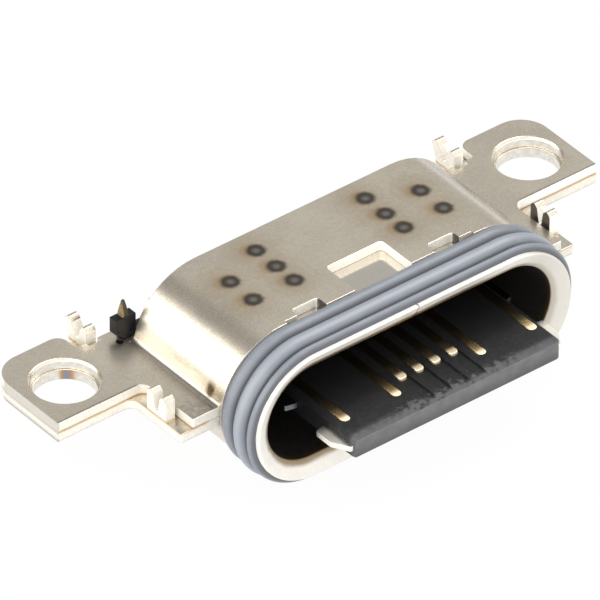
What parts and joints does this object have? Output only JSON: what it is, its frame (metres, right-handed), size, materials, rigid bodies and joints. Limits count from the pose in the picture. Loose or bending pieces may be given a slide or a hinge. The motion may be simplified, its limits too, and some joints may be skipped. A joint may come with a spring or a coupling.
{
  "type": "usb-c socket",
  "caption": "Screw-eared usb-c socket for a handset: folded steel shell with two ears and forked solder legs, grey ribbed sealing ring, and a black tongue with gold contacts.",
  "frame": {"origin": "centre of the plug opening in the plane of the shell rim, on the port axis", "axes": "-Y out of the mouth towards the plug, +X across the mouth along the line of the two ears, +Z to the board side, where the legs and solder tails point"},
  "size_m": [0.016, 0.0076, 0.0038],
  "materials": {
    "shell_steel": "bright nickel-plated steel",
    "cover_steel": "satin nickel-plated steel with bright cut edges",
    "seal_silicone": "smooth grey silicone",
    "black_plastic": "fine matt moulding",
    "contact_gold": "thin gold plating"
  },
  "bodies": {
    "root": {"inner_shell": "shell_steel", "cover_sheet": "cover_steel", "lower_bracket": "cover_steel", "seal_ring": "seal_silicone", "insulator": "black_plastic", "mid_plate": "shell_steel", "shield_plate_upper": "shell_steel", "shield_plate_lower": "shell_steel", "contact_a1": "contact_gold", "contact_a4": "contact_gold", "contact_a5": "contact_gold", "contact_a6": "contact_gold", "contact_a7": "contact_gold", "contact_a8": "contact_gold", "contact_a9": "contact_gold", "contact_a12": "contact_gold", "contact_b12": "contact_gold", "contact_b9": "contact_gold", "contact_b8": "contact_gold", "contact_b7": "contact_gold", "contact_b6": "contact_gold", "contact_b5": "contact_gold", "contact_b4": "contact_gold", "contact_b1": "contact_gold"}
  },
  "joints": []
}
